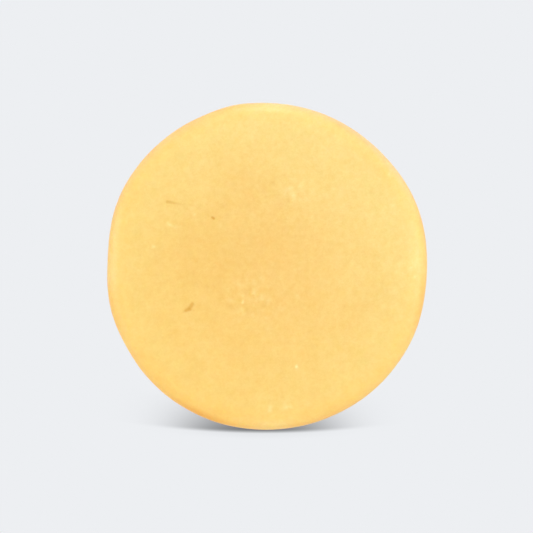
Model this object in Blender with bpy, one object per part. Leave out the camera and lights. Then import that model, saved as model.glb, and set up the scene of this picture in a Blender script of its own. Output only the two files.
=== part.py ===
"""A round puck of shaving soap, cast in one piece.

Metres, +Z up. The puck lies flat on its pour side, with its lathering face up.
The origin is the centre of the base, on the plane it rests on.

The mould widens towards the pour side, so the outline is largest just above the base.
The outline is a circle with four soft flats where the bar was pressed while it cured,
and one slight high spot.
"""

import math

import bmesh
import bpy

# Driving dimensions, in metres
RADIUS = 0.0350
THICKNESS = 0.0200
DRAFT_INSET = 0.00035  # how much narrower the side is under the shoulder than at the base
BASE_CORNER = 0.0012
SHOULDER_RUN = 0.0034  # the rounded shoulder, measured inwards
SHOULDER_DROP = 0.0030  # and downwards
FACE_SINK = 0.00040  # the face dips by this much at its middle, from shrinking as it set

# Places where the outline leaves the circle: direction in degrees (0 is +X, 90 is +Y),
# depth inwards in metres, and the angle in degrees over which it fades out.
OUTLINE_DENTS = (
    (177.0, 0.00091, 16.5),
    (357.5, 0.00063, 19.0),
    (209.0, 0.00040, 14.0),
    (47.5, 0.00035, 18.0),
    (102.0, -0.00025, 8.0),
)

# Mesh resolution
SEGMENTS = 120
CORNER_STEPS = 4
SHOULDER_STEPS = 9
SIDE_STEPS = 3
FACE_STEPS = 6
MERGE_DISTANCE = 1e-7
SHARP_ANGLE = math.radians(40.0)

# Finish: a warm butter yellow, waxy, with a soft sheen
SOAP_COLOUR = (0.98, 0.66, 0.21, 1.0)
SOAP_ROUGHNESS = 0.42
SOAP_METALLIC = 0.0

FULL_TURN = 2.0 * math.pi
QUARTER_TURN = 0.5 * math.pi


def clear_scene():
    for obj in list(bpy.data.objects):
        bpy.data.objects.remove(obj, do_unlink=True)


def outline_radius(direction):
    """The distance from the axis to the puck's widest edge, in a direction in radians."""
    radius = RADIUS
    for centre, depth, spread in OUTLINE_DENTS:
        turn = direction - math.radians(centre)
        nearest = math.atan2(math.sin(turn), math.cos(turn))
        radius -= depth * math.exp(-((nearest / math.radians(spread)) ** 2))
    return radius


def base_points():
    """The base and its rounded corner, from the axis outwards and up."""
    points = [(0.0, 0.0)]
    corner_centre = RADIUS - BASE_CORNER
    for step in range(CORNER_STEPS + 1):
        turn = QUARTER_TURN * step / CORNER_STEPS
        across = corner_centre + BASE_CORNER * math.sin(turn)
        height = BASE_CORNER * (1.0 - math.cos(turn))
        points.append((across, height))
    return points


def side_points():
    """The drafted side, between the base corner and the shoulder."""
    bottom = BASE_CORNER
    top = THICKNESS - SHOULDER_DROP
    points = []
    for step in range(1, SIDE_STEPS):
        share = step / SIDE_STEPS
        points.append((RADIUS - DRAFT_INSET * share, bottom + (top - bottom) * share))
    return points


def shoulder_points():
    """A quarter ellipse from the side up to the face."""
    face_edge = RADIUS - DRAFT_INSET - SHOULDER_RUN
    points = []
    for step in range(SHOULDER_STEPS + 1):
        turn = QUARTER_TURN * step / SHOULDER_STEPS
        across = face_edge + SHOULDER_RUN * math.cos(turn)
        height = THICKNESS - SHOULDER_DROP * (1.0 - math.sin(turn))
        points.append((across, height))
    return points


def face_points():
    """The face, from inside the shoulder to the axis, dipping smoothly to its middle."""
    face_edge = RADIUS - DRAFT_INSET - SHOULDER_RUN
    points = []
    for step in range(1, FACE_STEPS + 1):
        share = 1.0 - step / FACE_STEPS
        dip = FACE_SINK * (1.0 - share**2) ** 2
        points.append((face_edge * share, THICKNESS - dip))
    return points


def spin_profile(mesh_data, points):
    """Turns a profile at +X once round the Z axis into a closed surface."""
    verts = [mesh_data.verts.new((across, 0.0, height)) for across, height in points]
    edges = [mesh_data.edges.new(pair) for pair in zip(verts, verts[1:])]
    bmesh.ops.spin(
        mesh_data,
        geom=verts + edges,
        cent=(0.0, 0.0, 0.0),
        axis=(0.0, 0.0, 1.0),
        dvec=(0.0, 0.0, 0.0),
        angle=FULL_TURN,
        steps=SEGMENTS,
        use_merge=True,
    )
    bmesh.ops.remove_doubles(mesh_data, verts=mesh_data.verts, dist=MERGE_DISTANCE)
    bmesh.ops.dissolve_degenerate(mesh_data, edges=mesh_data.edges, dist=MERGE_DISTANCE)
    bmesh.ops.recalc_face_normals(mesh_data, faces=mesh_data.faces)


def press_outline(mesh_data):
    """Moves every point in or out, in proportion, so that the rim follows the outline."""
    for vert in mesh_data.verts:
        direction = math.atan2(vert.co.y, vert.co.x)
        share = outline_radius(direction) / RADIUS
        vert.co.x *= share
        vert.co.y *= share


def soap_material():
    material = bpy.data.materials.new("soap")
    material.use_nodes = True
    shader = material.node_tree.nodes["Principled BSDF"]
    shader.inputs["Base Color"].default_value = SOAP_COLOUR
    shader.inputs["Roughness"].default_value = SOAP_ROUGHNESS
    shader.inputs["Metallic"].default_value = SOAP_METALLIC
    material.diffuse_color = SOAP_COLOUR
    return material


def make_soap_puck():
    mesh_data = bmesh.new()
    profile = base_points() + side_points() + shoulder_points() + face_points()
    spin_profile(mesh_data, profile)
    press_outline(mesh_data)
    mesh = bpy.data.meshes.new("soap_puck")
    mesh_data.to_mesh(mesh)
    mesh_data.free()
    mesh.shade_smooth()
    mesh.set_sharp_from_angle(angle=SHARP_ANGLE)
    mesh.materials.append(soap_material())
    puck = bpy.data.objects.new("soap_puck", mesh)
    bpy.context.scene.collection.objects.link(puck)
    return puck


clear_scene()
make_soap_puck()
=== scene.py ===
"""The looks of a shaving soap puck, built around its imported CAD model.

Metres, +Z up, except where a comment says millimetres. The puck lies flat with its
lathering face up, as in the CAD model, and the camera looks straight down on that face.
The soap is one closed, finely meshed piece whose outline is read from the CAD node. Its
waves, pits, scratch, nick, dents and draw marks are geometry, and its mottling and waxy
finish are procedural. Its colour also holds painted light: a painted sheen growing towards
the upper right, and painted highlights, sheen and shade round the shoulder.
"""

import math
from typing import NamedTuple

import bmesh
import bpy
import numpy as np
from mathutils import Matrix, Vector, noise


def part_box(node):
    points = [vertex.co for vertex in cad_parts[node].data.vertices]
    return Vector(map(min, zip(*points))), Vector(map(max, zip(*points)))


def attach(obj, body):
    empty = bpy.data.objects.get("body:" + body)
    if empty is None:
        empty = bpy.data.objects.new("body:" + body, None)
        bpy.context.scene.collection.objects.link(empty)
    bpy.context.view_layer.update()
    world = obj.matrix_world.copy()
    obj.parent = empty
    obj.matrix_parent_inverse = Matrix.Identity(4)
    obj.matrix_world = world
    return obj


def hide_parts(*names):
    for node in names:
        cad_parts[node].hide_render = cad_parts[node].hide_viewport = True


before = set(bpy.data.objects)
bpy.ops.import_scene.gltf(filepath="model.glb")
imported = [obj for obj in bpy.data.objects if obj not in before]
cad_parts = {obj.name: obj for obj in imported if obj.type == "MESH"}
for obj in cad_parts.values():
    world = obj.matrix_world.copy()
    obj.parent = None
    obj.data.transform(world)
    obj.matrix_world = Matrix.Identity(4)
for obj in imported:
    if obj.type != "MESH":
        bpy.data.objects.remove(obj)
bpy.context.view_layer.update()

MM = 0.001
FULL_TURN = 2.0 * math.pi
QUARTER_TURN = 0.5 * math.pi

# The puck's size, from the frame
NODE = "soap_puck"
LOW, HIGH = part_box(NODE)
THICKNESS = HIGH.z - LOW.z

# Its profile
DRAFT_INSET = 0.35 * MM  # the side is this much narrower under the shoulder than at the base
BASE_CORNER = 1.2 * MM
SHOULDER_RUN = 3.4 * MM
SHOULDER_DROP = 3.0 * MM
FACE_SINK = 0.40 * MM

# The mesh: concentric rings of near-equilateral triangles on the face, rows round the side
FACE_RINGS = 112
POINTS_PER_RING = 6  # ring k holds 6 k points
SHOULDER_STEPS = 18
SIDE_STEPS = 44
CORNER_STEPS = 6
BASE_RINGS = 52
OUTLINE_SAMPLES = 720
OUTLINE_HARMONICS = 24
OUTER_SHARE = 0.5  # points beyond this share of the puck's reach belong to its side
DIRECTION_DECIMALS = 4
HEIGHT_TOLERANCE = 1e-7
SHARE_TOLERANCE = 1e-4
NO_LENGTH = 1e-9  # keeps the points on the axis from being divided by zero


# ---------------------------------------------------------------- outline


def measure_outline(node):
    """Fourier terms of the CAD node's widest radius by direction."""
    points = np.array([vert.co for vert in node.data.vertices], float)
    across = np.hypot(points[:, 0], points[:, 1])
    direction = np.round(np.arctan2(points[:, 1], points[:, 0]), DIRECTION_DECIMALS)
    rim = across > OUTER_SHARE * across.max()
    directions, member = np.unique(direction[rim], return_inverse=True)
    widest = np.zeros(len(directions))
    np.maximum.at(widest, member, across[rim])
    even = np.arange(OUTLINE_SAMPLES) * FULL_TURN / OUTLINE_SAMPLES
    sampled = np.interp(even, directions, widest, period=FULL_TURN)
    return np.fft.rfft(sampled)[: OUTLINE_HARMONICS + 1] / OUTLINE_SAMPLES


OUTLINE_TERMS = measure_outline(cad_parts[NODE])
RADIUS = float(OUTLINE_TERMS[0].real)


def outline_radius(direction):
    """The puck's widest radius in each direction, in radians."""
    radius = np.full(np.shape(direction), RADIUS)
    for order in range(1, len(OUTLINE_TERMS)):
        term = 2.0 * OUTLINE_TERMS[order] * np.exp(1j * order * direction)
        radius = radius + term.real
    return radius


# ---------------------------------------------------------------- base mesh

FACE_SHARE = 1.0 - (DRAFT_INSET + SHOULDER_RUN) / RADIUS


def face_height(share):
    """The face's height where the radius is this share of the outline's."""
    inward = np.clip(1.0 - (share / FACE_SHARE) ** 2, 0.0, 1.0)
    return THICKNESS - FACE_SINK * inward**2


def profile_rows():
    """Each row's share of the outline's radius, height and number of points.

    The rows run from the middle of the face over the shoulder to the middle of the base.
    """
    rows = [(0.0, THICKNESS - FACE_SINK, 1)]
    for ring in range(1, FACE_RINGS + 1):
        share = FACE_SHARE * ring / FACE_RINGS
        rows.append((share, float(face_height(share)), POINTS_PER_RING * ring))
    around = POINTS_PER_RING * FACE_RINGS
    for step in range(1, SHOULDER_STEPS + 1):
        turn = QUARTER_TURN * step / SHOULDER_STEPS
        across = RADIUS - DRAFT_INSET - SHOULDER_RUN * (1.0 - math.sin(turn))
        height = THICKNESS - SHOULDER_DROP * (1.0 - math.cos(turn))
        rows.append((across / RADIUS, height, around))
    top = THICKNESS - SHOULDER_DROP
    for step in range(1, SIDE_STEPS + 1):
        down = step / SIDE_STEPS
        across = RADIUS - DRAFT_INSET * (1.0 - down)
        rows.append((across / RADIUS, top + (BASE_CORNER - top) * down, around))
    for step in range(1, CORNER_STEPS + 1):
        turn = QUARTER_TURN * step / CORNER_STEPS
        across = RADIUS - BASE_CORNER * (1.0 - math.cos(turn))
        rows.append((across / RADIUS, BASE_CORNER * (1.0 - math.sin(turn)), around))
    base_share = 1.0 - BASE_CORNER / RADIUS
    for ring in range(BASE_RINGS, 0, -1):
        share = base_share * ring / (BASE_RINGS + 1)
        rows.append((share, 0.0, POINTS_PER_RING * ring))
    rows.append((0.0, 0.0, 1))
    return rows


def stitch(first, first_count, second, second_count):
    """Triangles between two rings of points, given each ring's first index and count."""
    triangles = []
    i = j = 0
    while i < first_count or j < second_count:
        here = first + i % first_count
        there = second + j % second_count
        next_here = (i + 1) / first_count if i < first_count else math.inf
        next_there = (j + 1) / second_count if j < second_count else math.inf
        if next_there <= next_here:
            j += 1
            triangles.append((here, there, second + j % second_count))
        else:
            i += 1
            triangles.append((here, there, first + i % first_count))
    return triangles


def fan(centre, ring, count, outward):
    """Triangles from a centre point to the ring of points round it."""
    triangles = []
    for k in range(count):
        pair = (ring + k, ring + (k + 1) % count)
        triangles.append((centre,) + (pair if outward else pair[::-1]))
    return triangles


def base_mesh():
    """Points and triangles of the smooth puck, before any relief."""
    rows = profile_rows()
    points = []
    starts = []
    for share, height, count in rows:
        starts.append(len(points))
        direction = np.arange(count) * FULL_TURN / count
        radius = outline_radius(direction) * share
        across = np.column_stack([radius * np.cos(direction), radius * np.sin(direction)])
        points.extend((x, y, height) for x, y in across)
    triangles = fan(starts[0], starts[1], rows[1][2], True)
    for k in range(1, len(rows) - 2):
        triangles += stitch(starts[k], rows[k][2], starts[k + 1], rows[k + 1][2])
    triangles += fan(starts[-1], starts[-2], rows[-2][2], False)
    return np.array(points), triangles


# ---------------------------------------------------------------- marks on the face

# Paths, places and sizes are in millimetres on the face, from its centre.


class Stroke(NamedTuple):
    """A mark drawn along a path of straight stretches."""

    path: tuple
    width: float
    strength: float = 1.0
    taper: float = 0.0  # the share of its width and strength that is lost by its end
    flatness: int = 2  # 2 is round in section, 4 flat-bottomed


SCRATCH_HEAD = Stroke(((-20.9, 13.6), (-20.2, 13.5), (-19.5, 13.35)), 0.34, taper=0.2, flatness=4)
SCRATCH_NECK = Stroke(((-19.5, 13.35), (-18.5, 13.15), (-17.4, 13.05)), 0.26, 0.7, taper=0.6)
SCRATCH_TAIL = Stroke(
    ((-17.4, 13.2), (-15.6, 12.9), (-13.6, 11.9), (-11.9, 10.7), (-9.5, 9.6)), 0.20, taper=0.3
)
SCRATCH_END = Stroke(((-11.42, 10.30), (-11.12, 10.10)), 0.27, flatness=3)
NICK_TOE = Stroke(((-17.1, -9.35), (-17.7, -9.7)), 0.34, 0.35, taper=0.5)
NICK_HEEL = Stroke(((-16.2, -8.9), (-17.0, -9.3)), 0.46, taper=0.25, flatness=3)
NICK_ARM = Stroke(((-16.2, -8.85), (-15.6, -7.9)), 0.46, 0.80, taper=0.1, flatness=3)
CRESCENT = Stroke(((-20.9, 9.1), (-20.3, 8.75), (-19.6, 8.4), (-18.9, 8.2)), 0.42, taper=0.4)
RIDGE = Stroke(((-5.05, -7.7), (-4.95, -7.3)), 0.28)

DRAWN_MARKS = (
    # strokes that make up the mark, height, tint
    ((SCRATCH_HEAD, SCRATCH_NECK), -0.07, -0.36),
    ((SCRATCH_TAIL,), -0.01, -0.05),
    ((SCRATCH_END,), -0.08, -0.68),
    ((NICK_TOE, NICK_HEEL, NICK_ARM), -0.09, -0.74),
    # the crescent's raised lip is paler: a painted highlight
    ((CRESCENT,), 0.05, 0.28),
    ((RIDGE,), 0.05, 0.50),
)
HOLLOWS = (
    # place, radius, stretch along X and Y, height, tint
    # beside the crescent: a shallow hollow darkened with painted shade
    ((-19.5, 9.75), 0.6, (1.0, 1.0), -0.03, -0.12),
    ((-3.5, 15.0), 6.0, (1.0, 0.85), -0.06, 0.0),
)


def distance_to_path(points, path):
    """Each point's distance from a path, and how far along the path it lies, from 0 to 1."""
    path = np.array(path, float)
    lengths = np.linalg.norm(np.diff(path, axis=0), axis=1)
    before = np.concatenate([[0.0], np.cumsum(lengths)])
    nearest = np.full(len(points), np.inf)
    along = np.zeros(len(points))
    for start, end, length, walked in zip(path, path[1:], lengths, before):
        share = np.clip((points - start) @ (end - start) / length**2, 0.0, 1.0)
        gap = np.linalg.norm(points - start - share[:, None] * (end - start), axis=1)
        closer = gap < nearest
        nearest[closer] = gap[closer]
        along[closer] = (walked + share[closer] * length) / before[-1]
    return nearest, along


FINE_STROKES = (
    SCRATCH_HEAD, SCRATCH_NECK, SCRATCH_TAIL, SCRATCH_END, NICK_TOE, NICK_HEEL, NICK_ARM, RIDGE
)
FINE_MARGIN = 0.75  # mm each side of a fine stroke
FINE_PASSES = 2
SLIVER_AREA = 0.0005 * MM**2


def refine_marks(mesh_data):
    """Splits the triangles along the fine strokes, so that thin grooves have points to shape them."""
    lowest = THICKNESS - FACE_SINK - HEIGHT_TOLERANCE
    for turn in range(FINE_PASSES):
        margin = FINE_MARGIN / (turn + 1)
        verts = [vert for vert in mesh_data.verts if vert.co.z > lowest]
        places = np.array([vert.co.xy for vert in verts]) / MM
        near = np.zeros(len(verts), bool)
        for stroke in FINE_STROKES:
            near |= distance_to_path(places, stroke.path)[0] < margin
        chosen = {vert for vert, is_near in zip(verts, near) if is_near}
        edges = [edge for edge in mesh_data.edges if chosen.issuperset(edge.verts)]
        bmesh.ops.subdivide_edges(mesh_data, edges=edges, cuts=1)
        bmesh.ops.triangulate(mesh_data, faces=[f for f in mesh_data.faces if len(f.verts) > 3])
    slivers = [face for face in mesh_data.faces if face.calc_area() < SLIVER_AREA]
    longest = [max(face.edges, key=lambda edge: edge.calc_length()) for face in slivers]
    bmesh.ops.rotate_edges(mesh_data, edges=list(dict.fromkeys(longest)))


def groove(places, stroke):
    """How strongly a stroke marks each place."""
    gap, along = distance_to_path(places, stroke.path)
    left = 1.0 - stroke.taper * along
    return stroke.strength * left * np.exp(-((gap / (stroke.width * left)) ** stroke.flatness))


def bowl(places, centre, width, depth, stretch=1.0):
    """A rounded bump or hollow of this depth, at each place."""
    offset = (places - np.array(centre)) / np.array(stretch)
    return depth * np.exp(-(np.sum(offset**2, axis=1) / width**2))


def smooth_noise(points, size, octaves=2, seed=0.0):
    """Noise of about -1 to 1 at each point, whose largest lumps are of this size in metres."""
    shift = Vector((seed, -seed, 2.0 * seed))
    return np.array(
        [noise.fractal(Vector(point) / size + shift, 1.0, 2.0, octaves) for point in points]
    )


PIT_SEED = 11
PIT_GROUPS = (
    # how many, centre in mm, spread in mm, smallest and largest radius in mm, depth per radius
    (260, (0.0, 0.0), 34.0, 0.16, 0.34, 0.16),
    (70, (-5.0, 1.0), 15.0, 0.18, 0.36, 0.18),
    (34, (-3.8, -7.6), 3.4, 0.20, 0.42, 0.24),
    (16, (1.0, 16.0), 6.0, 0.22, 0.40, 0.20),
)
# painted shade in the face's pits
PIT_TINT = -0.08


def pit_list():
    """(centre, radius, depth) of each small pit, in mm."""
    random = np.random.RandomState(PIT_SEED)
    pits = []
    for count, centre, spread, smallest, largest, steepness in PIT_GROUPS:
        for _ in range(count):
            direction = random.uniform(0.0, FULL_TURN)
            reach = spread * math.sqrt(random.uniform(0.0, 1.0))
            radius = smallest + (largest - smallest) * random.uniform(0.0, 1.0) ** 2
            place = (
                centre[0] + reach * math.cos(direction),
                centre[1] + reach * math.sin(direction),
            )
            pits.append((place, radius, steepness * radius))
    return pits


DARK_SPOTS = (
    # place, radius, strength
    ((-4.0, -9.2), 0.50, 0.26),
    ((-3.1, -8.9), 0.42, 0.12),
    ((-7.6, -8.3), 0.60, 0.14),
    ((-0.5, -8.35), 0.42, 0.20),
    ((0.0, -7.7), 0.30, 0.12),
    ((-6.5, -5.1), 0.42, 0.13),
    ((-7.1, -6.1), 0.40, 0.10),
    ((-2.8, -6.1), 0.35, 0.12),
    ((-1.5, -7.5), 0.32, 0.12),
    ((0.9, -5.0), 0.40, 0.14),
    ((0.8, -10.0), 0.35, 0.10),
    ((1.55, 17.6), 0.50, 0.15),
    ((-0.6, 15.8), 0.45, 0.13),
    ((-3.8, 13.1), 0.50, 0.14),
    ((6.2, 16.4), 0.35, 0.14),
    ((4.4, 15.5), 0.40, 0.13),
    ((4.8, 13.9), 0.40, 0.12),
    ((-6.9, 17.3), 0.50, 0.10),
    ((-6.7, 16.0), 0.45, 0.09),
    ((-9.2, 12.7), 0.60, 0.10),
    ((-16.9, 6.2), 0.50, 0.08),
    ((-12.7, -4.2), 0.40, 0.09),
    ((-8.6, -1.1), 0.40, 0.08),
    ((11.8, 11.9), 0.35, 0.10),
    ((11.1, 17.5), 0.35, 0.10),
)
PALE_SPOTS = (
    # the same
    ((6.3, -21.1), 0.30, 1.00),
    ((-23.8, 4.2), 0.36, 0.50),
    ((-15.2, 10.9), 0.40, 0.24),
    ((-9.5, 8.6), 0.60, 0.12),
    ((-6.0, -3.7), 0.50, 0.12),
    ((-1.2, -2.5), 0.50, 0.12),
    ((6.4, -6.1), 0.60, 0.16),
    ((-1.1, -6.0), 0.42, 0.19),
    ((-0.8, -6.9), 0.38, 0.19),
    ((-5.0, -6.2), 0.42, 0.17),
    ((-5.3, -8.8), 0.45, 0.17),
    ((-7.9, -7.4), 0.55, 0.17),
    ((-3.0, -10.3), 0.45, 0.15),
    ((5.1, 16.6), 0.50, 0.26),
    ((7.0, 16.9), 0.45, 0.26),
    ((5.9, 15.1), 0.50, 0.26),
    ((6.9, 14.1), 0.45, 0.18),
    ((30.3, -0.3), 0.40, 0.34),
    ((28.9, -1.6), 0.40, 0.28),
    ((31.2, -2.2), 0.35, 0.34),
    ((25.9, 19.4), 0.35, 0.36),
    ((26.4, 12.9), 0.45, 0.22),
    ((14.2, 16.4), 0.40, 0.17),
    ((4.2, -29.6), 0.42, 0.32),
    ((5.1, -29.5), 0.42, 0.30),
    ((0.7, -30.4), 0.45, 0.32),
    ((0.8, -29.6), 0.40, 0.26),
)
SPOT_DEPTH = 0.22  # of a dark spot, at full strength
SPOT_RISE = 0.09  # of a pale spot

BROAD_TONES = (
    # place, radius, tint
    ((0.0, -6.0), 7.0, 0.035),
    ((3.0, -15.5), 4.5, 0.018),
    ((9.5, 14.0), 5.5, 0.030),
    ((14.5, 14.0), 4.0, 0.028),
    ((-27.8, -14.5), 3.2, 0.050),
)
WARM_TONES = (
    # the same, for the amount of amber
    ((-16.5, 2.5), 7.8, 0.068),
    ((-1.5, 18.2), 5.0, 0.050),
    ((-8.0, 17.5), 6.5, 0.048),
    ((23.5, 21.5), 4.5, 0.062),
    ((15.5, 27.0), 4.5, 0.030),
    ((18.5, -10.5), 6.5, 0.040),
)
ROUGH_PATCHES = (
    # centre, radius, height of its lumps, tint of its lumps, overall tint
    ((-3.2, -7.0), 5.6, 0.050, 0.24, 0.04),
    ((6.0, 15.9), 3.0, 0.040, 0.22, 0.08),
    ((-19.8, 9.0), 2.0, 0.030, 0.16, 0.02),
    ((28.5, -0.5), 3.6, 0.030, 0.16, 0.03),
    ((3.0, -29.0), 3.4, 0.025, 0.14, 0.03),
)
ROUGH_SIZE = 1.5 * MM
ROUGH_OCTAVES = 3
ROUGH_SEED = 29.0

# Painted shade round the rim: deeper orange where the shoulder turns away from the lights, strongest at
# the lower left
RIM_PAINTED_SHADE = (
    # direction and half-width in degrees, distance from the edge and half-depth, strength
    (246.5, 13.0, 0.5, 1.0, 0.70),
    (286.0, 9.0, 0.3, 0.9, 0.20),
    (300.0, 10.0, 0.4, 1.2, 0.18),
    (346.0, 8.0, 0.7, 0.9, 0.24),
    (196.0, 9.0, 0.4, 1.6, 0.13),
    (60.0, 10.0, 0.8, 1.5, 0.17),
    (110.0, 15.0, 0.8, 1.2, 0.19),
    (14.0, 22.0, 0.5, 0.55, 0.15),
    (135.0, 8.0, 0.7, 0.7, 0.10),
)
RIM_PAINTED_HIGHLIGHTS = (
    # the same, for painted highlights where the shoulder catches the lights
    (270.0, 9.0, 1.8, 1.1, 0.17),
    (181.0, 9.0, 1.7, 1.7, 0.20),
    (208.0, 14.0, 2.4, 1.6, 0.07),
    (166.0, 8.0, 1.9, 0.8, 0.15),
    (4.0, 10.0, 3.1, 1.3, 0.24),
    (30.0, 7.0, 1.4, 0.6, 0.10),
    (89.0, 9.0, 0.5, 1.8, 0.32),
)
RIM_PAINTED_SHEEN = (
    # the same, for a painted whitish sheen on the shoulder
    (58.0, 30.0, 0.5, 0.9, 0.36),
    (142.0, 24.0, 0.9, 0.8, 0.14),
    (119.0, 13.0, 1.4, 1.3, 0.10),
    (37.0, 12.0, 1.5, 0.8, 0.10),
)


def mark_relief(places):
    """Height and tint at each place on the face. The tint is below 0 where dark, above 0 where pale."""
    height = np.zeros(len(places))
    tint = np.zeros(len(places))
    for strokes, rise, tone in DRAWN_MARKS:
        mark = np.max([groove(places, stroke) for stroke in strokes], axis=0)
        height += rise * mark
        tint += tone * mark
    for place, radius, stretch, rise, tone in HOLLOWS:
        hollow = bowl(places, place, radius, 1.0, stretch)
        height += rise * hollow
        tint += tone * hollow
    for place, radius, depth in pit_list():
        pit = bowl(places, place, radius, 1.0)
        height -= depth * pit
        tint += PIT_TINT * pit
    for place, radius, strength in DARK_SPOTS:
        spot = bowl(places, place, radius, strength)
        height -= SPOT_DEPTH * spot
        tint -= spot
    for place, radius, strength in PALE_SPOTS:
        spot = bowl(places, place, radius, strength)
        height += SPOT_RISE * spot
        tint += spot
    for place, radius, tone in BROAD_TONES:
        tint += bowl(places, place, radius, tone)

    spread = np.column_stack([places * MM, np.zeros(len(places))])
    lumps = smooth_noise(spread, ROUGH_SIZE, ROUGH_OCTAVES, ROUGH_SEED)
    for place, radius, rise, lump_tint, overall in ROUGH_PATCHES:
        patch = bowl(places, place, radius, 1.0)
        height += rise * patch * lumps
        tint += patch * (lump_tint * lumps + overall)
    return height, tint


def rim_patches(patches, direction, inset):
    """Sum of the shoulder's patches at each direction in degrees and distance from the edge."""
    total = np.zeros(len(direction))
    for centre, spread, depth, reach, amount in patches:
        turn = (direction - centre + 180.0) % 360.0 - 180.0
        total += amount * np.exp(-((turn / spread) ** 2) - ((inset - depth) / reach) ** 2)
    return total


# ---------------------------------------------------------------- marks on the side and base

# Places and sizes are in millimetres, from the middle of the base.
SIDE_SEED = 23
SIDE_PITS = (
    # how many, lowest and highest place above the base, smallest and largest radius
    (52, 1.6, 16.2, 0.40, 0.62),
    (34, 1.6, 6.5, 0.42, 0.75),
    (7, 2.0, 12.0, 0.80, 1.15),
)
SIDE_PIT_STEEPNESS = 0.40  # depth per radius
# painted shade in the side's pits
SIDE_PIT_TINT = -0.16
BASE_PITS = 60
BASE_PIT_AREA = 0.9  # they keep to this share of the base's area, round its middle
BASE_PIT_RADII = (0.9, 1.7)
BASE_PIT_DEPTH = 0.16
SIDE_DENTS = (
    # direction in degrees, height above the base, radius, depth
    (228.0, 0.3, 1.6, 0.26),
    (259.0, 0.2, 1.1, 0.20),
    (281.0, 0.3, 2.3, 0.24),
    (307.0, 0.4, 1.2, 0.22),
    (331.0, 0.3, 1.8, 0.28),
    (14.0, 0.3, 2.4, 0.22),
    (44.0, 0.2, 1.3, 0.25),
    (71.0, 0.4, 1.7, 0.20),
    (118.0, 0.3, 1.4, 0.26),
    (149.0, 0.3, 2.1, 0.22),
    (187.0, 0.2, 1.5, 0.24),
    (295.0, 9.5, 3.4, 0.14),
    (337.0, 12.6, 1.9, 0.12),
    (246.0, 6.8, 2.4, 0.12),
    (58.0, 8.2, 3.0, 0.13),
    (166.0, 10.8, 2.6, 0.12),
)
SIDE_DENT_TINT = 0.10
POUR_LINE = 2.9  # height above the base at which the soap first skinned over in the mould
POUR_LINE_WAVER = 0.45
POUR_LINE_WAVE = 16.0
POUR_LINE_WIDTH = 0.55
POUR_LINE_DEPTH = 0.045
POUR_LINE_TINT = -0.07
DRAW_STRETCH = 12.0  # the marks of drawing the bar from its mould are this much longer than wide
DRAW_WIDTH = 1.6
DRAW_DEPTH = 0.022
RIPPLE_SIZE = 7.0
RIPPLE_DEPTH = 0.080
SIDE_OCTAVES = 2
DRAW_SEED = 41.0
SIDE_FADE = 1.4  # how fast the side's marks fade out up the shoulder


def around_side(direction, height):
    """A point on the side's smooth surface."""
    radius = RADIUS / MM
    return np.array([radius * math.cos(direction), radius * math.sin(direction), height])


def scattered_side_pits():
    """(place, radius, depth) of each air pit on the side."""
    random = np.random.RandomState(SIDE_SEED)
    pits = []
    for count, lowest, highest, smallest, largest in SIDE_PITS:
        for _ in range(count):
            place = around_side(random.uniform(0.0, FULL_TURN), random.uniform(lowest, highest))
            radius = random.uniform(smallest, largest)
            pits.append((place, radius, SIDE_PIT_STEEPNESS * radius))
    return pits


def scattered_base_pits():
    """The same for the base, which was the open face of the mould."""
    random = np.random.RandomState(SIDE_SEED + 1)
    pits = []
    for _ in range(BASE_PITS):
        direction = random.uniform(0.0, FULL_TURN)
        reach = RADIUS / MM * math.sqrt(random.uniform(0.0, BASE_PIT_AREA))
        place = np.array([reach * math.cos(direction), reach * math.sin(direction), 0.0])
        pits.append((place, random.uniform(*BASE_PIT_RADII), BASE_PIT_DEPTH))
    return pits


def side_noise(places, size):
    """Noise for the side and base, whose lumps are of this size."""
    return smooth_noise(places * MM, size * MM, SIDE_OCTAVES, DRAW_SEED)


def side_relief(places, wall, underside):
    """Height and tint of places on the side and base. wall and underside say how much each is."""
    height = np.zeros(len(places))
    tint = np.zeros(len(places))
    for place, radius, depth in scattered_side_pits():
        pit = bowl(places, place, radius, 1.0)
        height -= depth * pit
        tint += SIDE_PIT_TINT * pit
    for place, radius, depth in scattered_base_pits():
        height -= depth * underside * bowl(places, place, radius, 1.0)
    for degrees, above, radius, depth in SIDE_DENTS:
        dent = bowl(places, around_side(math.radians(degrees), above), radius, 1.0)
        height -= depth * dent
        tint += SIDE_DENT_TINT * dent

    height += DRAW_DEPTH * wall * side_noise(places / (1.0, 1.0, DRAW_STRETCH), DRAW_WIDTH)
    height -= RIPPLE_DEPTH * underside * np.clip(side_noise(places, RIPPLE_SIZE), 0.0, 1.0)

    line = POUR_LINE + POUR_LINE_WAVER * side_noise(places * (1.0, 1.0, 0.0), POUR_LINE_WAVE)
    pour = wall * np.exp(-(((places[:, 2] - line) / POUR_LINE_WIDTH) ** 2))
    height -= POUR_LINE_DEPTH * pour
    tint += POUR_LINE_TINT * pour
    return height, tint


# ---------------------------------------------------------------- the soap piece

WAVES = (
    # height and size in mm, seed
    (0.070, 13.0, 3.0),
    (0.018, 3.2, 7.0),
    (0.006, 0.9, 13.0),
)
SHOULDER_ONSET = 6.0  # how fast the shoulder's tones set in above the side


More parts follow.
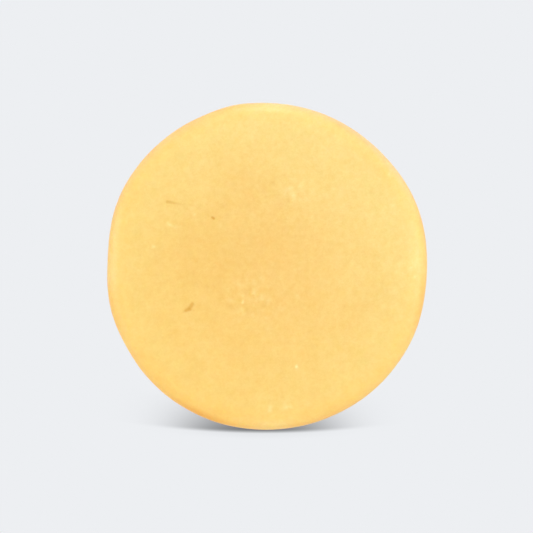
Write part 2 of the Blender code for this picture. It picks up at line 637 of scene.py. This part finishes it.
def relief(points):
    """Moves the smooth puck's points into the real surface. Returns them and their colour values."""
    across = np.hypot(points[:, 0], points[:, 1])
    share = across / outline_radius(np.arctan2(points[:, 1], points[:, 0]))
    on_face = (points[:, 2] > 0.5 * THICKNESS) & (share <= FACE_SHARE + SHARE_TOLERANCE)
    moved = points.copy()
    moved[on_face, 2] = face_height(share[on_face])

    outward = np.column_stack([points[:, 0], points[:, 1], np.zeros(len(points))])
    outward /= np.maximum(across, NO_LENGTH)[:, None]
    rise = np.clip((points[:, 2] - THICKNESS + SHOULDER_DROP) / SHOULDER_DROP, 0.0, 1.0)
    above_base = np.clip(points[:, 2] / BASE_CORNER, 0.0, 1.0)
    underside = 1.0 - above_base
    normal = outward * np.sqrt(1.0 - rise**2 - underside**2)[:, None]
    normal[:, 2] += rise - underside

    waves = sum(height * smooth_noise(points, size * MM, seed=seed) for height, size, seed in WAVES)
    moved += normal * (waves * MM * above_base)[:, None]

    direction = np.degrees(np.arctan2(points[:, 1], points[:, 0]))
    inset = (1.0 - share) * RADIUS / MM
    on_shoulder = np.clip(SHOULDER_ONSET * rise, 0.0, 1.0)
    # Round the shoulder: painted highlights, painted shade and a painted whitish sheen; the amber also
    # takes the face's warm tones
    tint = rim_patches(RIM_PAINTED_HIGHLIGHTS, direction, inset) * on_shoulder
    amber_and_shade = rim_patches(RIM_PAINTED_SHADE, direction, inset) * on_shoulder
    painted_sheen = rim_patches(RIM_PAINTED_SHEEN, direction, inset) * on_shoulder
    for place, radius, amount in WARM_TONES:
        amber_and_shade += bowl(points[:, :2] / MM, place, radius, amount) * on_shoulder
    top = points[:, 2] > THICKNESS - SHOULDER_DROP
    height, marks = mark_relief(points[top, :2] / MM)
    tint[top] += marks
    moved[top, 2] += height * MM * rise[top]

    fading = np.clip(1.0 - SIDE_FADE * rise, 0.0, 1.0)
    low = fading > 0.0
    height, marks = side_relief(points[low] / MM, (above_base * fading)[low], underside[low])
    tint[low] += marks * fading[low]
    moved[low] += normal[low] * (height * fading[low] * MM)[:, None]
    return moved, {"tint": tint, "amber_and_shade": amber_and_shade, "painted_sheen": painted_sheen, "inset": inset, "rise": rise}


def set_attribute(mesh, name, values):
    attribute = mesh.attributes.new(name, "FLOAT", "POINT")
    attribute.data.foreach_set("value", np.asarray(values, np.float32))


def make_soap():
    points, triangles = base_mesh()
    mesh = bpy.data.meshes.new("soap_bar")
    mesh.from_pydata(points.tolist(), [], triangles)
    mesh_data = bmesh.new()
    mesh_data.from_mesh(mesh)
    refine_marks(mesh_data)
    bmesh.ops.recalc_face_normals(mesh_data, faces=mesh_data.faces)
    mesh_data.to_mesh(mesh)
    mesh_data.free()

    points = np.zeros(len(mesh.vertices) * 3)
    mesh.vertices.foreach_get("co", points)
    points = points.reshape(-1, 3)
    moved, values = relief(points)
    mesh.vertices.foreach_set("co", moved.ravel())
    mesh.update()
    mesh.shade_smooth()
    for name, value in values.items():
        set_attribute(mesh, name, value)

    soap = bpy.data.objects.new("soap_bar", mesh)
    bpy.context.scene.collection.objects.link(soap)
    mesh.materials.append(soap_material())
    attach(soap, "root")
    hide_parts(NODE)


# ---------------------------------------------------------------- materials

FACE_GOLD = (0.852, 0.524, 0.127, 1.0)  # the face's colour on the side away from the light
FACE_PAINTED_LIT = (0.838, 0.583, 0.193, 1.0)  # the same with painted light, on the side towards the upper right
# The shoulder's colours, without and with the painted light. They are paler than the face's: partly
# real wear, partly a painted glow of light through the soap's edge
SHOULDER_GOLD = (0.857, 0.602, 0.165, 1.0)
SHOULDER_PAINTED_LIT = (0.843, 0.658, 0.231, 1.0)
# The side's colours, without and with the painted light
SIDE_GOLD = (0.915, 0.550, 0.140, 1.0)
SIDE_PAINTED_LIT = (0.900, 0.597, 0.200, 1.0)
# The dark and pale colours of the marks. The dark one also paints shade in pits and hollows, the pale
# one painted highlights on the shoulder and the crescent's lip
DEEP_COLOUR = (0.64, 0.295, 0.010, 1.0)
PALE_COLOUR = (0.92, 0.83, 0.40, 1.0)
# deep orange for the face's warm tones and for the painted shade round the rim
AMBER_AND_SHADE_COLOUR = (0.82, 0.345, 0.005, 1.0)
# the whitish colour of the painted sheen on the shoulder
PAINTED_SHEEN_COLOUR = (0.86, 0.60, 0.42, 1.0)
EDGE_WARMTH = (1.09, 1.0, 0.925, 1.0)
MOTTLE_DARK = (0.974, 0.93, 0.81, 1.0)
MOTTLE_LIGHT = (1.026, 1.07, 1.19, 1.0)
CLOUD_SHADE = (0.984, 0.985, 0.945, 1.0)
# Painted light: the colours grow paler and whiter towards this direction, a painted sheen from light at
# the upper right
PAINTED_LIGHT_DIRECTION = math.radians(56.0)

# Where one colour gives way to another
CLOUD_CENTRE = (-6.7 * MM, 0.0, THICKNESS)
CLOUD_REACH = (3.0 * MM, 24.0 * MM)  # full inside the first radius, gone outside the second
SHOULDER_BLEND = (30.0, 2.0)  # mm from the edge
WARMTH_BLEND = (6.0, 1.0)  # mm from the edge
SIDE_BLEND = (0.75, 0.1)  # share of the shoulder's height
DRAWN_BLEND = (0.5, 0.0)  # the same, for the fine marks of the mould

# Noises: size, detail and roughness. Most of a noise lies between the values of a spread.
SPREAD = (0.3, 0.7)
NARROW_SPREAD = (0.35, 0.65)
BROAD_NOISE = (9.0 * MM, 3.0, 0.55)
SMUDGE_NOISE = (4.5 * MM, 3.0, 0.6)
SMEAR_NOISE = (2.4 * MM, 3.0, 0.6)
WAX_NOISE = (0.9 * MM, 4.0, 0.6)
DRAWN_DETAIL = (3.0, 0.6)
STREAK_SIZE = 1.1 * MM
DRAWN_SIZE = 0.45 * MM
MOTTLES = (
    # a noise and how far it moves the mottling, from dark at 0 to light at 1
    ((1.3 * MM, 4.0, 0.65), 0.30),
    ((0.36 * MM, 2.0, 0.6), 0.22),
    ((3.5 * MM, 2.0, 0.5), 0.15),
)
MOTTLE_MIDDLE = 0.5
MOTTLE_INSET = (2.0, 16.0)  # mm from the edge, between which the mottling grows stronger
MOTTLE_INNER_GAIN = (0.82, 1.03)
# how strong the mottling is, from the shaded side of the painted light gradient to its lit side
MOTTLE_LIT_SIDE_GAIN = (0.94, 1.06)
BROAD_TINT = 0.025
STREAK_TINT = 0.045
SMUDGE_TINT = 0.04

# The finish
ROUGHNESS = (0.29, 0.42)  # smoothest and dullest
SOAP_IOR = 1.46
SCATTER_SHARE = 0.6
SCATTER_RADIUS = (1.0, 0.5, 0.2)  # by colour: red light goes furthest
SCATTER_SCALE = 0.9 * MM
BUMP_STRENGTH = 0.5
BUMP_HEIGHT = 0.05 * MM


class Nodes:
    """A short way to add shader nodes and join them up."""

    def __init__(self, tree):
        self.tree = tree
        tree.nodes.clear()

    def add(self, kind, settings=None, **inputs):
        node = self.tree.nodes.new(kind)
        for name, value in (settings or {}).items():
            setattr(node, name, value)
        for name, value in inputs.items():
            self.put(node.inputs[name.replace("_", " ")], value)
        return node

    def put(self, socket, value):
        if isinstance(value, bpy.types.NodeSocket):
            self.tree.links.new(value, socket)
        else:
            socket.default_value = value

    def math(self, operation, first, second=0.0, clamp=False):
        node = self.tree.nodes.new("ShaderNodeMath")
        node.operation = operation
        node.use_clamp = clamp
        self.put(node.inputs[0], first)
        self.put(node.inputs[1], second)
        return node.outputs[0]

    def blend(self, share, first, second, kind="MIX"):
        """Two colours mixed. A mix node takes colours at inputs 6 and 7 and gives output 2."""
        node = self.tree.nodes.new("ShaderNodeMix")
        node.data_type = "RGBA"
        node.blend_type = kind
        self.put(node.inputs[0], share)
        self.put(node.inputs[6], first)
        self.put(node.inputs[7], second)
        return node.outputs[2]

    def span(self, value, low, high, new_low=0.0, new_high=1.0, kind="SMOOTHSTEP"):
        node = self.tree.nodes.new("ShaderNodeMapRange")
        node.interpolation_type = kind
        self.put(node.inputs[0], value)
        for index, number in enumerate((low, high, new_low, new_high), start=1):
            node.inputs[index].default_value = number
        return node.outputs[0]

    def vector(self, operation, first, second=(0.0, 0.0, 0.0)):
        node = self.add("ShaderNodeVectorMath", {"operation": operation})
        self.put(node.inputs[0], first)
        self.put(node.inputs[1], second)
        return node

    def swing(self, value, amount, spread=SPREAD):
        """A noise turned into a value from minus to plus this amount."""
        return self.span(value, *spread, -amount, amount, "LINEAR")

    def attribute(self, name):
        return self.add("ShaderNodeAttribute", {"attribute_name": name}).outputs["Fac"]

    def noise(self, place, size, detail, rough):
        """Noise of 0 to 1 whose lumps are of this size in metres."""
        node = self.add("ShaderNodeTexNoise", Scale=1.0 / size, Detail=detail, Roughness=rough)
        self.put(node.inputs["Vector"], place)
        return node.outputs["Fac"]


def drawn_noise(nodes, place, size):
    """Noise drawn out along Z, as the side is by the mould."""
    squeezed = nodes.vector("MULTIPLY", place, (1.0, 1.0, 1.0 / DRAW_STRETCH))
    return nodes.noise(squeezed.outputs["Vector"], size, *DRAWN_DETAIL)


def base_colour(nodes, place, inset, lit_side, side):
    """Butter yellow: clouded at the middle, paler at the shoulder (partly wear, partly a painted glow
    through the edge), orange at the side, and paler with painted light towards the upper right.
    """
    apart = nodes.vector("DISTANCE", place, CLOUD_CENTRE)
    cloud = nodes.span(apart.outputs["Value"], *CLOUD_REACH, 1.0, 0.0)
    # each colour without and with painted light, paler towards the upper right
    face_colour = nodes.blend(lit_side, FACE_GOLD, FACE_PAINTED_LIT)
    shoulder_colour = nodes.blend(lit_side, SHOULDER_GOLD, SHOULDER_PAINTED_LIT)
    side_colour = nodes.blend(lit_side, SIDE_GOLD, SIDE_PAINTED_LIT)
    # paler towards the shoulder: partly wear, partly painted glow
    shoulder = nodes.span(inset, *SHOULDER_BLEND, kind="LINEAR")
    colour = nodes.blend(shoulder, face_colour, shoulder_colour)
    colour = nodes.blend(side, colour, side_colour)
    colour = nodes.blend(nodes.span(inset, *WARMTH_BLEND), colour, EDGE_WARMTH, "MULTIPLY")
    return nodes.blend(cloud, colour, CLOUD_SHADE, "MULTIPLY")


def marked_colour(nodes, place, side, colour):
    """The colour with its dark and pale marks, side streaks, amber tones, painted shade and highlights
    round the rim, and a painted sheen on the shoulder.
    """
    streak = nodes.swing(drawn_noise(nodes, place, STREAK_SIZE), STREAK_TINT)
    smudge = nodes.swing(nodes.noise(place, *SMUDGE_NOISE), SMUDGE_TINT, NARROW_SPREAD)
    worn = nodes.math("MULTIPLY", side, nodes.math("ADD", streak, smudge))
    broad = nodes.swing(nodes.noise(place, *BROAD_NOISE), BROAD_TINT)
    # the tint holds the marks' tones, painted highlights on the shoulder, and painted shade in pits and
    # beside the crescent
    level = nodes.math("ADD", nodes.math("ADD", nodes.attribute("tint"), broad), worn)
    darker = nodes.math("MULTIPLY", level, -1.0, clamp=True)
    paler = nodes.math("MULTIPLY", level, 1.0, clamp=True)
    colour = nodes.blend(darker, colour, DEEP_COLOUR)
    colour = nodes.blend(paler, colour, PALE_COLOUR)
    colour = nodes.blend(nodes.attribute("amber_and_shade"), colour, AMBER_AND_SHADE_COLOUR)
    return nodes.blend(nodes.attribute("painted_sheen"), colour, PAINTED_SHEEN_COLOUR)


def mottled_colour(nodes, place, inset, lit_side, colour):
    """The colour with its fine mottling, strongest at the middle and on the side with painted light."""
    swing = 0.0
    for noise_kind, amount in MOTTLES:
        swing = nodes.math("ADD", swing, nodes.swing(nodes.noise(place, *noise_kind), amount))
    inner = nodes.span(inset, *MOTTLE_INSET, *MOTTLE_INNER_GAIN, "LINEAR")
    lit_gain = nodes.span(lit_side, 0.0, 1.0, *MOTTLE_LIT_SIDE_GAIN, "LINEAR")
    swing = nodes.math("MULTIPLY", swing, nodes.math("MULTIPLY", inner, lit_gain))
    share = nodes.math("ADD", swing, MOTTLE_MIDDLE, clamp=True)
    return nodes.blend(1.0, colour, nodes.blend(share, MOTTLE_DARK, MOTTLE_LIGHT), "MULTIPLY")


def soap_colour(nodes, place):
    """The soap's colour at each place, from its broad tones to its mottling."""
    inset = nodes.attribute("inset")
    side = nodes.span(nodes.attribute("rise"), *SIDE_BLEND)
    # a painted light gradient, from 0 on the side away from the light to 1 towards the upper right
    lit_axis = (math.cos(PAINTED_LIGHT_DIRECTION), math.sin(PAINTED_LIGHT_DIRECTION), 0.0)
    along = nodes.vector("DOT_PRODUCT", place, lit_axis).outputs["Value"]
    lit_side = nodes.span(along, -RADIUS, RADIUS, kind="LINEAR")
    colour = base_colour(nodes, place, inset, lit_side, side)
    colour = marked_colour(nodes, place, side, colour)
    return mottled_colour(nodes, place, inset, lit_side, colour)


def soap_material():
    material = bpy.data.materials.new("soap")
    material.use_nodes = True
    nodes = Nodes(material.node_tree)
    place = nodes.add("ShaderNodeTexCoord").outputs["Object"]
    shader = nodes.add("ShaderNodeBsdfPrincipled")
    nodes.put(shader.inputs["Base Color"], soap_colour(nodes, place))

    smear = nodes.noise(place, *SMEAR_NOISE)
    nodes.put(shader.inputs["Roughness"], nodes.span(smear, *SPREAD, *ROUGHNESS, "LINEAR"))
    nodes.put(shader.inputs["IOR"], SOAP_IOR)
    nodes.put(shader.inputs["Subsurface Weight"], SCATTER_SHARE)
    nodes.put(shader.inputs["Subsurface Radius"], SCATTER_RADIUS)
    nodes.put(shader.inputs["Subsurface Scale"], SCATTER_SCALE)

    wax = nodes.noise(place, *WAX_NOISE)
    low = nodes.span(nodes.attribute("rise"), *DRAWN_BLEND)
    drawn = nodes.math("MULTIPLY", low, drawn_noise(nodes, place, DRAWN_SIZE))
    bump = nodes.add("ShaderNodeBump", Strength=BUMP_STRENGTH, Distance=BUMP_HEIGHT)
    nodes.put(bump.inputs["Height"], nodes.math("ADD", wax, drawn))
    nodes.put(shader.inputs["Normal"], bump.outputs["Normal"])

    output = nodes.add("ShaderNodeOutputMaterial")
    nodes.put(output.inputs["Surface"], shader.outputs["BSDF"])
    return material


# ---------------------------------------------------------------- stage

BACKDROP = (0.847, 0.863, 0.888, 1.0)
FLOOR_GAP = 0.05 * MM
FLOOR_HALF = 3.0
SWEEP_START = 0.06  # from here outwards the floor blends into the backdrop
SWEEP_END = 0.45
FLOOR_ALBEDO = (0.728, 0.743, 0.765, 1.0)
WHITE = (1.0, 1.0, 1.0, 1.0)
AMBIENT = 0.785

# The contact shadow, in mm on the floor as seen past the rim
SHADOW_LINE = 35.18  # distance from the centre to its lower edge
SHADOW_BEND = 0.0023  # how fast that edge curves up on each side, per mm
SHADOW_CENTRE = -1.7
SHADOW_WIDTH = 15.2
SHADOW_FALLOFF = 2.5
SHADOW_STRENGTH = 0.46
SHADOW_EDGE = (-0.42, 0.62)  # where the lower edge starts and ends, from the shadow's line up
SHADOW_HEM = (-1.7, 0.2)  # the same, for the faint hem outside it
SHADOW_HEM_SHARE = 0.085
SHADOW_FADE = (8.0, 0.8)  # it thins out between these distances above its line
SHADOW_CONTRAST = 2.3
OVERHEAD = (0.93, 0.96)  # cosines from straight down, between which the shadow comes in

SOFTBOXES = (
    # name, place, size, power in watts
    ("overhead", (0.0, 0.05, 0.75), 0.55, 0.49),
    ("key", (0.22, 0.30, 0.26), 0.30, 0.22),
    ("top_fill", (0.0, 0.46, 0.20), 0.25, 0.42),
    ("left_fill", (-0.42, 0.0, 0.22), 0.30, 0.42),
    ("right_fill", (0.36, -0.02, 0.30), 0.25, 0.38),
    ("near_fill", (0.0, -0.45, 0.20), 0.30, 0.22),
)

LENS = 150.0  # mm
SENSOR = 36.0  # mm
FILL = 0.610  # share of the picture's width that the puck's mean diameter takes
CLIP_START = 0.01
CLIP_END = 10.0


def camera_height():
    rim_height = THICKNESS - SHOULDER_DROP
    rim_radius = RADIUS - DRAFT_INSET
    return rim_height + 2.0 * rim_radius * LENS / (FILL * SENSOR)


def make_camera():
    data = bpy.data.cameras.new("camera")
    data.lens = LENS
    data.sensor_width = SENSOR
    data.clip_start = CLIP_START
    data.clip_end = CLIP_END
    camera = bpy.data.objects.new("camera", data)
    camera.location = (0.0, 0.0, camera_height())
    bpy.context.scene.collection.objects.link(camera)
    bpy.context.scene.camera = camera


def overhead_share(nodes, geometry):
    """1 for a camera that looks straight down, else 0."""
    incoming = nodes.add("ShaderNodeSeparateXYZ")
    nodes.put(incoming.inputs[0], geometry.outputs["Incoming"])
    steep = nodes.span(incoming.outputs["Z"], *OVERHEAD)
    from_camera = nodes.add("ShaderNodeLightPath").outputs["Is Camera Ray"]
    return nodes.math("MULTIPLY", steep, from_camera)


def contact_shadow(nodes, geometry):
    """Soft grey under the rim nearest -Y, as if the puck stood on that rim: 0 none, 1 black."""
    parallax = camera_height() / (camera_height() - THICKNESS + SHOULDER_DROP)
    unit = MM * parallax
    place = nodes.add("ShaderNodeSeparateXYZ")
    nodes.put(place.inputs[0], geometry.outputs["Position"])
    across = nodes.math("DIVIDE", place.outputs["X"], unit)
    up = nodes.math("DIVIDE", place.outputs["Y"], unit)
    bend = nodes.math("MULTIPLY", nodes.math("MULTIPLY", across, across), SHADOW_BEND)
    lift = nodes.math("SUBTRACT", nodes.math("ADD", up, SHADOW_LINE), bend)
    aside = nodes.math("ABSOLUTE", nodes.math("SUBTRACT", across, SHADOW_CENTRE))
    falloff = nodes.math("POWER", nodes.math("DIVIDE", aside, SHADOW_WIDTH), SHADOW_FALLOFF)
    width = nodes.math("EXPONENT", nodes.math("MULTIPLY", falloff, -1.0))
    sharp = nodes.span(lift, *SHADOW_EDGE)
    hem = nodes.span(lift, *SHADOW_HEM, 0.0, SHADOW_HEM_SHARE)
    fade = nodes.span(lift, *SHADOW_FADE, kind="LINEAR")
    dark = nodes.math("MULTIPLY", nodes.math("MAXIMUM", sharp, hem), fade)
    return nodes.math("MULTIPLY", nodes.math("MULTIPLY", dark, width), SHADOW_STRENGTH)


def floor_material():
    material = bpy.data.materials.new("floor")
    material.use_nodes = True
    nodes = Nodes(material.node_tree)
    geometry = nodes.add("ShaderNodeNewGeometry")
    lit = nodes.add("ShaderNodeBsdfDiffuse", Color=FLOOR_ALBEDO)
    light = nodes.math("SUBTRACT", 1.0, contact_shadow(nodes, geometry))
    flat = nodes.add("ShaderNodeEmission", Color=BACKDROP)
    nodes.put(flat.inputs["Strength"], nodes.math("POWER", light, SHADOW_CONTRAST))
    reach = nodes.vector("LENGTH", geometry.outputs["Position"])
    far = nodes.span(reach.outputs["Value"], SWEEP_START, SWEEP_END)
    even = nodes.math("MAXIMUM", overhead_share(nodes, geometry), far)
    mix = nodes.add("ShaderNodeMixShader")
    nodes.put(mix.inputs[0], even)
    nodes.put(mix.inputs[1], lit.outputs[0])
    nodes.put(mix.inputs[2], flat.outputs[0])
    output = nodes.add("ShaderNodeOutputMaterial")
    nodes.put(output.inputs["Surface"], mix.outputs[0])
    return material


def make_floor():
    signs = ((-1, -1), (1, -1), (1, 1), (-1, 1))
    corners = [(x * FLOOR_HALF, y * FLOOR_HALF, -FLOOR_GAP) for x, y in signs]
    mesh = bpy.data.meshes.new("floor")
    mesh.from_pydata(corners, [], [(0, 1, 2, 3)])
    mesh.materials.append(floor_material())
    floor = bpy.data.objects.new("floor", mesh)
    bpy.context.scene.collection.objects.link(floor)


def make_world():
    world = bpy.data.worlds.new("studio")
    bpy.context.scene.world = world
    world.use_nodes = True
    nodes = Nodes(world.node_tree)
    seen = nodes.add("ShaderNodeBackground", Color=BACKDROP, Strength=1.0)
    light = nodes.add("ShaderNodeBackground", Color=WHITE, Strength=AMBIENT)
    from_camera = nodes.add("ShaderNodeLightPath").outputs["Is Camera Ray"]
    mix = nodes.add("ShaderNodeMixShader")
    nodes.put(mix.inputs[0], from_camera)
    nodes.put(mix.inputs[1], light.outputs[0])
    nodes.put(mix.inputs[2], seen.outputs[0])
    output = nodes.add("ShaderNodeOutputWorld")
    nodes.put(output.inputs["Surface"], mix.outputs[0])


def make_softbox(name, place, size, power):
    data = bpy.data.lights.new(name, "AREA")
    data.shape = "SQUARE"
    data.size = size
    data.energy = power
    light = bpy.data.objects.new(name, data)
    light.location = place
    towards = Vector((0.0, 0.0, 0.5 * THICKNESS)) - Vector(place)
    light.rotation_mode = "QUATERNION"
    light.rotation_quaternion = towards.to_track_quat("-Z", "Y")
    bpy.context.scene.collection.objects.link(light)


def set_view():
    settings = bpy.context.scene.view_settings
    settings.view_transform = "Standard"
    settings.look = "None"
    settings.exposure = 0.0
    settings.gamma = 1.0


make_soap()
make_floor()
make_world()
for softbox in SOFTBOXES:
    make_softbox(*softbox)
make_camera()
set_view()
